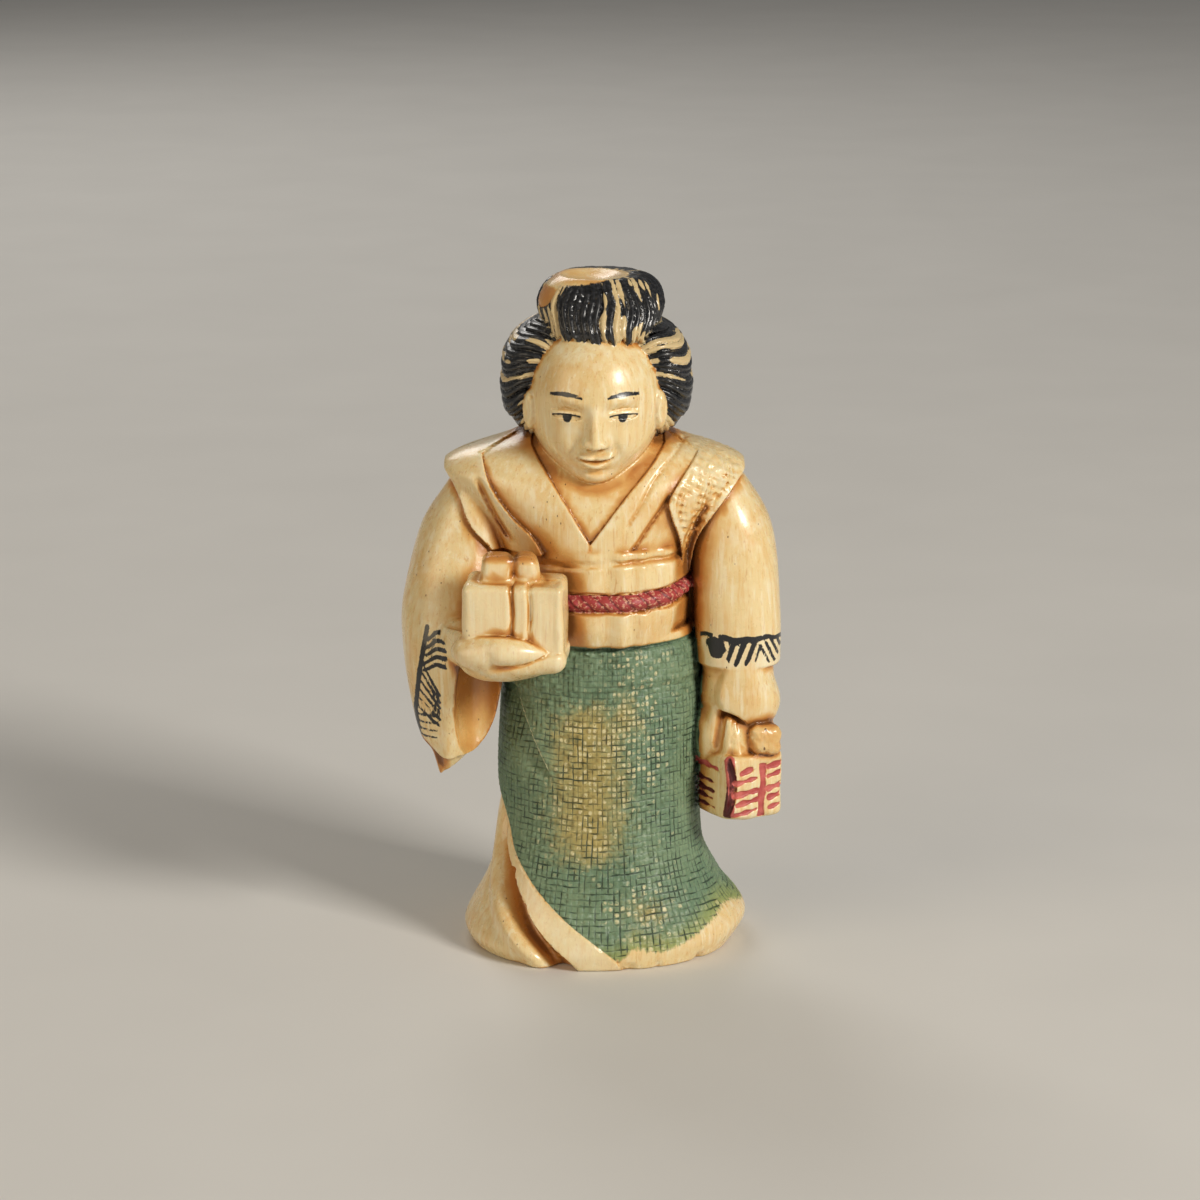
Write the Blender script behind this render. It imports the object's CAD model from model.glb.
# Looks of a carved and painted netsuke: one sculpted piece in place of the plain solid, a studio
# and a camera. The carving is a field of signed distances in millimetres, made from the solid's own
# named sizes with the finer cuts added. The field is meshed once, and what covers each spot is kept
# on the mesh as attributes.
import math

import bmesh
import bpy
import numpy as np
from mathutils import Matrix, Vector


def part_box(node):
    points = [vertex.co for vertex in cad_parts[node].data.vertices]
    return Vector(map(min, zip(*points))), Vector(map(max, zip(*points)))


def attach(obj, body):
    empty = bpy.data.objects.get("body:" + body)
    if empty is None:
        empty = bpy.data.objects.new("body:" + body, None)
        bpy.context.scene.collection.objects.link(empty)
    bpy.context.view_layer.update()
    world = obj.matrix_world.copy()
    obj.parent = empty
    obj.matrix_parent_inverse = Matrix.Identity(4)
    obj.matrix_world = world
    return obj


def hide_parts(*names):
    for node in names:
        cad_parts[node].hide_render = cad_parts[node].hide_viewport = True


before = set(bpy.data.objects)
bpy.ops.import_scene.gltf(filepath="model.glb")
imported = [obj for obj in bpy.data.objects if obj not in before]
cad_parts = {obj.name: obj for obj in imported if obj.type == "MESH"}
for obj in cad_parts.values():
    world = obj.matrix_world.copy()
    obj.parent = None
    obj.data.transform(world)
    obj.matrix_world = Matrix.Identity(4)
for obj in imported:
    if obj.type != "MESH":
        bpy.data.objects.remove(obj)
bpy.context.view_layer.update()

# Units, a distance out of reach, and how square the ovals are
MM = 0.001
FAR = 6.0
OVAL_SQUARE = 2.25


# Small field tools

def smoothstep(value, low, high):
    t = np.clip((value - low) / (high - low), 0, 1)
    return t * t * (3 - 2 * t)


def window(value, low, low_full, high_full, high):
    """One between two limits, with a soft edge at each."""
    return smoothstep(value, low, low_full) * (1 - smoothstep(value, high_full, high))


def gauss(distance, width):
    return np.exp(-((distance / width) ** 2))


def soft_min(a, b, seam):
    """The nearer of two distances, rounded over a seam."""
    share = np.clip(0.5 + 0.5 * (b - a) / seam, 0, 1)
    return b + (a - b) * share - seam * share * (1 - share)


def soft_max(a, b, seam):
    return -soft_min(-a, -b, seam)


def profile(pairs):
    """A smooth curve of values over height through a few (height, value) pairs."""
    heights, values = np.array(pairs, float).T
    last = len(heights) - 1
    steps = np.arange(last + 1)
    before = np.maximum(steps - 1, 0)
    after = np.minimum(steps + 1, last)
    tangents = (values[after] - values[before]) / (heights[after] - heights[before])

    def value(height):
        h = np.clip(height, heights[0], heights[-1])
        i = np.clip(np.searchsorted(heights, h, side="right") - 1, 0, last - 1)
        span = heights[i + 1] - heights[i]
        t = (h - heights[i]) / span
        rise = t * t * (3 - 2 * t)
        leave = t * (1 - t) ** 2 * span * tangents[i]
        arrive = t * t * (t - 1) * span * tangents[i + 1]
        return values[i] * (1 - rise) + values[i + 1] * rise + leave + arrive

    return value


def uneven(x, y, z, pitch):
    """Slow unevenness of a hand-cut surface, between about -1 and 1."""
    a, b, c = x / pitch, y / pitch, z / pitch
    first = np.sin(1.7 * a + 2.1 * b + 0.6 * c) * np.sin(1.1 * c - 0.9 * a + 1.3)
    second = np.sin(2.9 * b - 1.9 * c + 0.7) * np.sin(2.3 * a + 1.5 * c + 2.2)
    return 0.6 * first + 0.4 * second


def oval(x, y, left, right, front, back, square=OVAL_SQUARE):
    """Distance from a squarish oval with its own reach to each side."""
    reach_x = np.where(x > 0, right, left)
    reach_y = np.where(y > 0, back, front)
    u = np.abs(x) / reach_x
    v = np.abs(y) / reach_y
    r = (u**square + v**square) ** (1 / square) + 1e-4
    slope = np.hypot(u ** (square - 1) / reach_x, v ** (square - 1) / reach_y) * r ** (1 - square)
    return (r - 1) / (slope + 1e-4)


def ellipsoid(x, y, z, centre, half):
    u, v, w = (x - centre[0]) / half[0], (y - centre[1]) / half[1], (z - centre[2]) / half[2]
    near = np.sqrt(u * u + v * v + w * w) + 1e-4
    slope = np.sqrt((u / half[0]) ** 2 + (v / half[1]) ** 2 + (w / half[2]) ** 2) + 1e-4
    return near * (near - 1) / slope


def rod(x, y, z, start, end, radius, end_radius=None):
    """Distance from a round-ended rod that may taper."""
    start, end = np.array(start, float), np.array(end, float)
    along = end - start
    px, py, pz = x - start[0], y - start[1], z - start[2]
    t = np.clip((px * along[0] + py * along[1] + pz * along[2]) / (along @ along), 0, 1)
    away = np.sqrt((px - t * along[0]) ** 2 + (py - t * along[1]) ** 2 + (pz - t * along[2]) ** 2)
    return away - (radius if end_radius is None else radius + (end_radius - radius) * t)


def turned(x, y, centre, degrees):
    """Coordinates in a frame turned about +Z at a centre."""
    c, s = math.cos(math.radians(degrees)), math.sin(math.radians(degrees))
    dx, dy = x - centre[0], y - centre[1]
    return c * dx + s * dy, c * dy - s * dx


def soft_box(u, v, w, half, rounding):
    a, b, c = (np.abs(p) - h + rounding for p, h in zip((u, v, w), half))
    outside = np.sqrt(np.maximum(a, 0) ** 2 + np.maximum(b, 0) ** 2 + np.maximum(c, 0) ** 2)
    return outside + np.minimum(np.maximum(np.maximum(a, b), c), 0) - rounding


def between(distance, z, low, high, seam):
    """Cuts an upright form off level at both ends."""
    return soft_max(distance, np.maximum(low - z, z - high), seam)


def bearing_of(x, y):
    return np.degrees(np.arctan2(y, x)) % 360


def ridges(turns):
    """Rounded ridges with sharp valleys at whole turns, from 0 in the valley to 1."""
    return np.abs(np.sin(math.pi * turns)) ** 0.7


def stroke(u, v, start, end, half_width, end_width=None):
    """Distance from a brush stroke on a flat or unrolled surface."""
    du, dv = end[0] - start[0], end[1] - start[1]
    t = np.clip(((u - start[0]) * du + (v - start[1]) * dv) / (du * du + dv * dv), 0, 1)
    width = half_width if end_width is None else half_width + (end_width - half_width) * t
    return np.hypot(u - start[0] - t * du, v - start[1] - t * dv) - width


def nearest_stroke(u, v, strokes):
    return np.minimum.reduce([stroke(u, v, *each) for each in strokes])


# Sizes shared with the solid, in millimetres: heights, then (height, reach) pairs for each side
WEDGE_TOP = 13.0
SASH_BOTTOM = 23.4
SASH_TOP = 30.5
SHOULDER = 35.3
NECK_TOP = 39.0
HEAD_CENTRE = 40.9
FIGURE_TOP = 49.1

SKIRT_TOP = SASH_BOTTOM + 0.8
skirt_left = profile([(0, 10.2), (1.2, 10.7), (4.6, 9.0), (9, 7.8), (15, 7.6), (SKIRT_TOP, 6.9)])
skirt_right = profile([
    (0, 9.4), (2.0, 10.5), (4.4, 8.8), (7.5, 7.4), (13, 7.3), (19, 7.4), (SKIRT_TOP, 6.6),
])
skirt_front = profile([(0, 9.0), (1.5, 9.2), (5, 8.1), (10, 7.1), (15, 6.8), (SKIRT_TOP, 6.2)])
skirt_back = profile([(0, 7.8), (1.5, 8.0), (5, 7.2), (10, 6.6), (15, 6.7), (SKIRT_TOP, 6.1)])
SKIRT_TWIST = 9.0
SKIRT_TWIST_TOP = 12.0
wedge_front = profile([
    (0, 281), (1, 275), (2.3, 264.5), (3.5, 253.5), (5, 240.5), (6.65, 227.5), (8, 217.5), (10.2, 207),
    (12, 190), (WEDGE_TOP, 168),
])
wedge_back = profile([(0, 128), (6, 140), (11.5, 158), (WEDGE_TOP, 168)])
OVERSKIRT_THICK = 0.55
edge_band = profile([
    (0, 3.5), (2, 3.4), (3.5, 2.8), (5, 2.0), (6.65, 1.3), (9, 0.6), (11, 0.25), (WEDGE_TOP, 0),
])

sash_left = profile([(SASH_BOTTOM, 6.5), (25, 6.9), (28, 7.0), (SASH_TOP, 6.8)])
sash_right = profile([(SASH_BOTTOM, 5.9), (25, 6.3), (28, 6.4), (SASH_TOP, 6.2)])
sash_front = profile([(SASH_BOTTOM, 6.7), (25, 7.0), (28, 6.9), (SASH_TOP, 6.6)])
sash_back = profile([(SASH_BOTTOM, 6.4), (25, 6.6), (28, 6.5), (SASH_TOP, 6.2)])
SASH_RIM = 29.55
CORD_Z = 26.75
CORD_RISE = 0.5
CORD_RADIUS = 0.6
CORD_PROUD = 0.25
CORD_TWISTS = 44
BOW_LOW = (-4.3, 5.0, 24.1)
BOW_HIGH = (4.3, 7.6, 30.7)

CHEST_BOTTOM = 29.5
CHEST_X = -0.55
chest_side = profile([
    (CHEST_BOTTOM, 6.4), (32, 7.6), (34.2, 9.6), (SHOULDER, 10.4), (36.4, 9.0), (37.6, 5.4),
    (NECK_TOP, 3.2),
])
chest_front = profile([(CHEST_BOTTOM, 6.2), (32, 6.2), (34, 5.6), (36, 4.4), (37.6, 3.4), (NECK_TOP, 2.8)])
chest_back = profile([(CHEST_BOTTOM, 6.2), (32, 6.4), (34, 6.2), (36, 5.2), (37.6, 4.3), (NECK_TOP, 3.4)])

# Edges of the cloth layers on the chest, seen from the front, as (height, x) pairs
neckline_left = profile([(31.0, -0.84), (33.6, -2.5), (35.3, -3.6), (37.4, -5.0)])
neckline_right = profile([(31.0, -0.84), (34.1, 1.6), (36.1, 3.4), (37.4, 4.4)])
collar_line = profile([(31.2, 1.1), (33.6, 2.7), (35.4, 3.8), (37.7, 6.1)])
kimono_line = profile([(30.4, 2.2), (31.7, 3.0), (34.0, 4.7)])
lapel_in = profile([(30.2, -4.2), (31.4, -4.95), (32.7, -6.4), (34.8, -7.9), (37.2, -8.7)])
lapel_out = profile([(30.2, -8.0), (31.8, -9.4), (33.7, -10.2), (35.5, -11.3)])
lapel_groove = profile([(30.7, -6.4), (32.1, -7.3), (34.1, -8.3), (35.6, -9.0)])
flap_in = profile([(28.5, 5.75), (30.9, 5.45), (33.0, 4.8), (34.0, 4.75), (37.2, 7.05)])
flap_out = profile([(28.5, 6.3), (30.5, 6.7), (32.0, 7.5), (35.4, 10.2)])
COLLAR_THICK = 0.38
VEST_THICK = 0.42
VEST_TOP = 37.8
LAPEL_BOTTOM = 30.0
FLAP_BOTTOM = 28.2
SLANT = 0.85

CUFF = 21.35
ARM_TOP = 34.8
arm_x = profile([(CUFF, 9.8), (25, 9.7), (29, 9.45), (32, 9.0), (ARM_TOP, 8.2)])
arm_y = profile([(CUFF, -1.9), (25, -1.5), (29, -0.8), (ARM_TOP, 0)])
arm_side = profile([(CUFF, 3.1), (25, 3.15), (29, 3.15), (32, 2.85), (ARM_TOP, 1.9)])
arm_deep = profile([(CUFF, 3.0), (25, 3.3), (29, 3.6), (32, 3.5), (ARM_TOP, 2.6)])
ARM_WEB = ((7.0, 0.9, 25.2), (2.6, 2.2, 8.8))
WRIST_X = 9.95
WRIST_Y = -2.4
WRIST_BOTTOM = 16.2
WRIST_TOP = 22.6
wrist_left = profile([(WRIST_BOTTOM, 2.6), (17, 3.0), (18.7, 3.2), (20.6, 3.05), (WRIST_TOP, 2.7)])
wrist_right = profile([(WRIST_BOTTOM, 1.6), (17, 2.35), (18.7, 2.95), (20.6, 2.4), (WRIST_TOP, 2.3)])
wrist_deep = profile([(WRIST_BOTTOM, 1.6), (17, 2.3), (18.6, 2.7), (20.6, 2.5), (WRIST_TOP, 2.4)])

BUNDLE_CENTRE = (9.95, -3.3, 12.7)
BUNDLE_HALF = (2.35, 2.25, 2.5)
BUNDLE_TURN = 33.0
BUNDLE_ROUND = 0.55

# Hanging hand: rounded forms by centre and half sizes, fingers as tapered rods, the cloth beside them
HAND_BACK = ((9.8, -2.9, 15.9), (2.7, 2.2, 2.1))
HAND_SIDE = ((7.7, -2.3, 16.0), (1.2, 1.9, 2.6))
HANGING_THUMB = ((7.75, -3.5, 15.2), (8.2, -3.9, 18.0), 0.62, 0.5)
FINGERS = ((9.6, -4.35, 14.8), (9.2, -4.35, 17.3), 1.25, 0.6)
FINGER_GAP = ((8.25, -4.75, 15.6), (8.6, -4.6, 17.8), 0.36, 0.32)
LUMP = (11.45, -3.75, 16.15)
LUMP_HALF = (1.2, 1.6, 1.1)
LUMP_TURN = 14

SLEEVE_TIP = 13.5
SLEEVE_TOP = 34.6
sleeve_outer = profile([
    (SLEEVE_TIP, 11.7), (14.6, 12.0), (15.4, 12.3), (16.3, 13.0), (18.8, 13.7), (23, 14.35),
    (26, 14.3), (31, 13.0), (SLEEVE_TOP, 10.8),
])
sleeve_inner = profile([
    (SLEEVE_TIP, 11.3), (14.6, 9.8), (16.3, 8.3), (18.8, 7.4), (23, 6.9), (31, 6.6), (SLEEVE_TOP, 6.4),
])
sleeve_front = profile([
    (SLEEVE_TIP, 4.9), (14.6, 5.6), (16.3, 6.2), (18.8, 6.6), (23, 6.9), (26, 6.0), (31, 4.0),
    (SLEEVE_TOP, 2.6),
])
sleeve_back = profile([
    (SLEEVE_TIP, -4.0), (14.6, -2.6), (16.3, -1.2), (18.8, 0.2), (23, 1.8), (26, 2.6), (31, 3.3),
    (SLEEVE_TOP, 2.6),
])
SLEEVE_FACE = -3.4
SLEEVE_MOUTH = ((-8.5, -6.4, 19.0), (1.95, 3.0, 5.4))
SLEEVE_RIM = [(-10.75, -6.75, 23.6), (-10.8, -6.5, 19.6), (-10.95, -5.3, 15.3)]

BOX_CENTRE = (-6.05, -9.0, 26.4)
BOX_HALF = (3.55, 2.3, 2.8)
BOX_TURN = -5.0
BOX_ROUND = 0.55
STRAP_X = 0.55
STRAP_HALF = 0.6
BOX_EARS = ((-7.4, 1.1, 0.1), (-5.15, 0.86, -0.15))
BOX_EAR_Y = -8.9
BOX_EAR_Z = 29.7
BOX_KNOT = ((-6.3, -8.9, 28.9), (0.9, 1.1, 0.75))

# Carrying hand: the forearm as a tapered rod, the palm under the box, and the leaf of the thumb
FOREARM = ((-12.0, -3.0, 24.2), (-8.4, -8.7, 23.7), 1.75, 1.55)
PALM = ((-6.1, -9.0, 23.75), (3.85, 2.95, 1.8))
PALM_TILT = 0.13
PALM_END = (-4.75, -9.5, 23.85)
PALM_END_HALF = (2.25, 2.35, 0.95)
HEEL = ((-7.9, -10.3, 24.3), (2.7, 1.9, 1.4))
THUMB = (-6.9, -11.35, 24.6)
THUMB_TIP = 3.3
THUMB_ROOT = 4.6
THUMB_HIGH = 1.05
THUMB_DEEP = 1.2

HEAD = (-0.5, -1.0, HEAD_CENTRE)
HEAD_HALF = (4.95, 5.7, 5.5)
HEAD_DOWN = 6.4
HEAD_BOW = 9.0
HEAD_JAW = 0.1
HEAD_CHIN = 0.2
EYE_X = 2.0
EYE_Z = 0.05
BROW_Z = 1.15
NOSE_TOP = 1.25
NOSE_TIP = -1.8
MOUTH_Z = -3.15
CHIN_Z = -4.7
EAR = ((4.55, -2.35, -0.5), (0.55, 0.8, 1.45))
EAR_BOWL = ((4.9, -3.05, -0.35), (0.3, 0.35, 0.75))

HAIR = (-0.4, 0.0, 41.6)
HAIR_SIDE = 6.65
HAIR_UP = 4.9
HAIR_DOWN = 4.3
HAIR_SQUARE = 2.7
HAIR_SCALE = [(-3.2, 0.86), (-1.4, 1.0), (1.6, 1.0), (4.4, 0.84), (6.6, 0.4)]
HAIR_STRANDS_PER_RADIAN = 12.5
HAIR_DROOP = 0.8
HAIR_SWEEP = 0.8
KNOT_BOTTOM = 45.0
KNOT_X = -0.1
KNOT_Y = 0.4
knot_side = profile([(KNOT_BOTTOM, 3.95), (45.9, 4.15), (47.2, 4.45), (48.4, 3.9), (FIGURE_TOP, 3.0)])
knot_front = profile([(KNOT_BOTTOM, 5.1), (45.9, 5.1), (47.0, 4.4), (48.3, 3.4), (FIGURE_TOP, 2.6)])
knot_back = profile([(KNOT_BOTTOM, 5.1), (46.3, 5.2), (48.1, 4.8), (FIGURE_TOP, 3.4)])
KNOT_STRANDS = 56
KNOT_LOBE = ((KNOT_X + 2.6, KNOT_Y + 0.5, 47.45), (1.75, 2.4, 1.6))
KNOT_DISH = ((KNOT_X - 0.7, KNOT_Y, FIGURE_TOP + 1.0), (2.8, 2.9, 1.5))

CORD_HOLES = (0.0, 6.6, 15.5)
CORD_HOLES_APART = 6.4
CORD_HOLE_RADIUS = 1.25

# Weave engraved in the overskirt
WEAVE_COLUMNS = 122
WEAVE_PITCH = 0.43
WEAVE_DEPTH = 0.07

# Chips in the hem: bearing, width in degrees and depth
HEM_CHIPS = ((283, 2.6, 0.25), (296, 1.6, 0.15), (318, 2.4, 0.3))

# How near a part's surface its own paint lies, and how far the stain looks for walls and edges
ON = 0.2
GROOVE_REACH = (0.25, 0.5)
HOLLOW_REACH = (1.1, 2.2)
EDGE_REACH = 0.3

# Meshing: cell size, slack of the band around the surface, and the triangles left after thinning
CELL = 0.125
BLOCK = 6
SUBBLOCK = 2
BAND_SLACK = 0.12
TRIANGLES = 150000
THIN_CARE = 0.006


# Skirt

crease_bearing = profile([(13.5, 240), (14.5, 236), (19.3, 214), (21, 208)])
hem_height = profile([
    (128, 1.6), (250, 0.5), (270, 0.7), (279, 0.9), (285, 1.7), (292, 1.3), (302, 1.4), (312, 1.9),
    (322, 2.6), (335, 3.3), (345, 3.2), (360, 2.5), (488, 1.6),
])


def wedge_inside(x, y, z):
    """How far a point lies inside the overskirt's open wedge: from its front edge, and from any edge."""
    bearing, radius = bearing_of(x, y), np.hypot(x, y)
    from_front = np.radians(wedge_front(z) - bearing) * radius
    from_back = np.radians(bearing - wedge_back(z)) * radius
    inside = np.minimum(np.minimum(from_front, from_back), WEDGE_TOP - z)
    return from_front, inside


def weave_turns(x, y, z):
    """Thread counts around the overskirt from its back seam and up it, wavy as cut by hand."""
    bearing = (bearing_of(x, y) - 90) % 360
    around = bearing / 360 * WEAVE_COLUMNS
    up = z / WEAVE_PITCH
    sway = 0.14 * np.sin(0.21 * up + 0.31 * around) + 0.05 * np.sin(0.93 * up + 2.3 * around)
    dip = 0.25 * np.sin(0.23 * around + 0.4) + 0.05 * np.sin(1.7 * around + 0.6 * up)
    return around + sway, up + dip


def thread_line(turns):
    """One at the middle of each engraved line, falling to zero beside it."""
    return gauss(turns - np.round(turns), 0.17)


def green_inside(x, y, z):
    """How far a point on the skirt lies inside the green paint: from its side edges, and from the hem."""
    _, wedge = wedge_inside(x, y, z)
    bearing = (bearing_of(x, y) - 128) % 360 + 128
    return np.minimum(-wedge, SASH_BOTTOM + 0.15 - z), z - hem_height(bearing)


def beside_crease(x, y, z):
    """Distance around the skirt from the slanted fold line at its left."""
    return np.radians(bearing_of(x, y) - crease_bearing(z)) * np.hypot(x, y)


def overskirt_edge(x, y, z):
    """Depth of the cuts at the overskirt's open edge: the step to the cloth below, its groove and fold."""
    from_front, inside = wedge_inside(x, y, z)
    band = edge_band(z)
    opening = smoothstep(np.minimum(inside, from_front - band), -0.1, 0.22)
    groove = gauss(from_front - band - 0.9, 1.0) + 0.2 * gauss(from_front - 8.0, 0.8)
    fold = 0.45 * gauss(from_front - band - 3.3, 1.5)
    low = smoothstep(WEDGE_TOP - z, 0, 4.5)
    line = 0.1 * gauss(from_front, 0.12) * smoothstep(band, 0.2, 0.8)
    return opening * (OVERSKIRT_THICK + low * (groove - fold)) + line


def plain_skirt(x, y, z):
    twist = math.radians(SKIRT_TWIST) * (1 - smoothstep(z, 0, SKIRT_TWIST_TOP))
    c, s = np.cos(twist), np.sin(twist)
    reach = skirt_left(z), skirt_right(z), skirt_front(z), skirt_back(z)
    d = oval(c * x + s * y, c * y - s * x, *reach)
    d = d + overskirt_edge(x, y, z)
    bearing = bearing_of(x, y)
    tuck = smoothstep(z + 0.35 * np.sin(np.radians(bearing * 2)), 20.0, 20.45)
    d = d - 0.16 * tuck
    beside = beside_crease(x, y, z)
    crease = smoothstep(-beside, -0.06, 0.1) * gauss(np.minimum(beside, 0), 1.5)
    crease = crease * window(z, 13.4, 14.6, 19.6, 20.4) * (np.abs(bearing - 225) < 60)
    chips = sum(depth * gauss(bearing - middle, width) for middle, width, depth in HEM_CHIPS)
    d = d + 0.5 * crease + chips * smoothstep(0.8 - z, 0, 0.5)
    back_seam = gauss(np.where(y > 0, x, FAR), 0.12)
    under_sash = gauss(z - SASH_BOTTOM + 0.1, 0.2)
    return d + 0.12 * back_seam + 0.3 * under_sash + 0.05 * uneven(x, y, z, 2.2)


def skirt(x, y, z):
    d = plain_skirt(x, y, z)
    around, up = weave_turns(x, y, z)
    lines = np.maximum(thread_line(around), thread_line(up))
    painted = smoothstep(np.minimum(*green_inside(x, y, z)), 0.0, 0.3)
    d = d + WEAVE_DEPTH * lines * painted
    return between(d, z, 0, SKIRT_TOP, 0.3)


# Sash with its cord and bow

def cord_across(x, y, z):
    """Height from the middle of the cord, counted in cord radii."""
    bearing = np.radians(bearing_of(x, y) - 270)
    return (z - CORD_Z - CORD_RISE * (1 - np.cos(bearing))) / CORD_RADIUS


def cord_turns(x, y, z):
    """Twist count along the cord, uneven as cut by hand."""
    return bearing_of(x, y) / 360 * CORD_TWISTS + 0.55 * cord_across(x, y, z) + 0.3 * uneven(x, y, z, 0.8)


def sash(x, y, z):
    d = oval(x, y, sash_left(z), sash_right(z), sash_front(z), sash_back(z))
    across = cord_across(x, y, z)
    bulge = (CORD_RADIUS + CORD_PROUD) * np.sqrt(np.maximum(1 - across**2, 0)) - CORD_RADIUS
    crumbs = uneven(x, y, z, 0.3)
    rope = bulge - 0.1 * (1 - ridges(cord_turns(x, y, z))) + 0.1 * crumbs
    d = d - np.where(np.abs(across) < 1, np.maximum(rope, -0.2), 0)
    d = d + 0.2 * gauss(np.abs(across) - 1.12, 0.22)
    d = d + 0.3 * gauss(z - SASH_RIM - 0.12 * np.sin(0.5 * x), 0.22)
    bearing = np.radians(bearing_of(x, y))
    facets = 0.1 * np.sin(19 * bearing + 1.3 * np.sin(5 * bearing)) * smoothstep(np.abs(across), 1.2, 1.8)
    d = d + facets + 0.08 * uneven(x, y, z, 1.6)
    return between(d, z, SASH_BOTTOM, SASH_TOP, 0.4)


def bow(x, y, z):
    low, high = np.array(BOW_LOW), np.array(BOW_HIGH)
    centre, half = (low + high) / 2, (high - low) / 2
    u, v, w = x - centre[0], y - centre[1], z - centre[2]
    d = soft_box(u, v, w, half, 1.0)
    d = d + 0.3 * gauss(np.abs(u) - 1.5 - 0.06 * w * w, 0.28) * (v > 0)
    return d + 0.12 * gauss(w - 0.05 * u * u, 0.25) * (v > 0)


# Chest, collar, vest and both sleeves

def around_neck(y):
    """How far the vest's inner edges swing outward on their way behind the neck."""
    return 1.2 * np.maximum(y + 2.2, 0)


def flap_inside(x, y, z):
    """How far a point lies inside the stippled shoulder flap on the right."""
    return SLANT * np.minimum(x - flap_in(z) + around_neck(y), flap_out(z) - x)


def collared_chest(x, y, z):
    side = chest_side(z)
    d = oval(x - CHEST_X, y, side, side, chest_front(z), chest_back(z), 2.0)
    d = between(d, z, CHEST_BOTTOM, NECK_TOP, 0.4)
    skin = SLANT * np.minimum(x - neckline_left(z), neckline_right(z) - x)
    skin = np.where(y < 0.5, skin, -1.0)
    skin = np.maximum(skin, z - 38.0 + 0.25 * np.maximum(y, 0))
    collar = soft_max(d - COLLAR_THICK, skin, 0.14)
    d = np.minimum(d, collar)
    front = y < 0
    line = gauss(SLANT * (x - collar_line(z)), 0.17) * smoothstep(z, 31.4, 32.6)
    seam = gauss(SLANT * (x - kimono_line(z)), 0.2) * (1 - smoothstep(z, 33.8, 34.4))
    return d + np.where(front, 0.16 * line + 0.28 * seam, 0)


def hanging_sleeve(x, y, z):
    side, deep = arm_side(z), arm_deep(z)
    d = oval(x - arm_x(z), y - arm_y(z), side, side, deep, deep)
    d = d + 0.05 * uneven(x, y, z, 2.6)
    outer = between(d, z, CUFF, ARM_TOP, 0.25)
    hollow = soft_max(d + 0.6, z - CUFF - 0.9, 0.2)
    return soft_max(outer, -hollow, 0.12)


sleeve_edge = profile([(-13.6, 17.2), (-12.6, 16.2), (-11.8, 15.35), (-11.0, 15.05), (-10.2, 15.3)])


def bent_sleeve(x, y, z):
    side = (sleeve_outer(z) - sleeve_inner(z)) / 2
    deep = (sleeve_front(z) + sleeve_back(z)) / 2
    middle_x = -(sleeve_outer(z) + sleeve_inner(z)) / 2
    middle_y = (sleeve_back(z) - sleeve_front(z)) / 2
    d = oval(x - middle_x, y - middle_y, side, side, deep, deep)
    d = d + 0.07 * uneven(x, y, z, 2.4)
    d = between(d, z, SLEEVE_TIP, SLEEVE_TOP, 0.3)
    for start, end in zip(SLEEVE_RIM, SLEEVE_RIM[1:]):
        d = soft_min(d, rod(x, y, z, start, end, 0.68), 0.35)
    below = smoothstep(sleeve_edge(x) - z, 0, 0.16) * smoothstep(x + sleeve_outer(z), 0.05, 0.5)
    d = d + np.where(y < SLEEVE_FACE, 0.3 * below, 0)
    return soft_max(d, -ellipsoid(x, y, z, *SLEEVE_MOUTH), 0.16)


def vest(x, y, z, chest):
    """The vest over the chest: a plain lapel on the left, a stippled flap on the right and the back."""
    lapel = SLANT * np.maximum(x - lapel_in(z) - around_neck(y), lapel_out(z) - x)
    lapel = np.maximum(lapel, LAPEL_BOTTOM - z)
    behind = smoothstep(y, -0.5, 1.5)
    flap_bottom = FLAP_BOTTOM + (LAPEL_BOTTOM - FLAP_BOTTOM) * behind
    flap = np.maximum(-flap_inside(x, y, z), flap_bottom - z)
    layer = np.maximum(np.minimum(lapel, flap), z - VEST_TOP)
    bent = 0.35 * uneven(x, y, z, 1.1)
    pits = np.sin(8.5 * (x + bent) + 3.0 * z) * np.sin(7.8 * (z - bent) - 2.5 * x + 0.8)
    pits = pits + 0.7 * uneven(x, y, z, 0.4)
    stippled = np.maximum(smoothstep(-flap, 0.1, 0.5), behind * smoothstep(-layer, 0.1, 0.5))
    stipple = 0.09 * pits * stippled * (1 - behind * smoothstep(-x, 0, 6))
    return soft_max(chest - VEST_THICK - stipple, layer, 0.12)


def torso(x, y, z):
    d = collared_chest(x, y, z)
    d = soft_min(d, hanging_sleeve(x, y, z), 0.3)
    d = soft_min(d, ellipsoid(x, y, z, *ARM_WEB), 0.4)
    d = soft_min(d, bent_sleeve(x, y, z), 0.3)
    d = np.minimum(d, vest(x, y, z, d))
    groove = gauss(SLANT * (x - lapel_groove(z)), 0.22) * window(z, 30.4, 31.2, 34.4, 35.6)
    return d + np.where(y < 0, 0.32 * groove, 0)


# Hanging hand with the bundle

knuckle_line = profile([
    (7.4, 18.5), (8.7, 18.25), (9.66, 17.9), (10.5, 17.2), (11.1, 16.65), (12.0, 16.9), (12.9, 17.4),
])
hand_edge = profile([(17.5, 8.75), (18.2, 8.6), (19.25, 8.35), (20.5, 8.6), (21.5, 9.0)])


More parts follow.
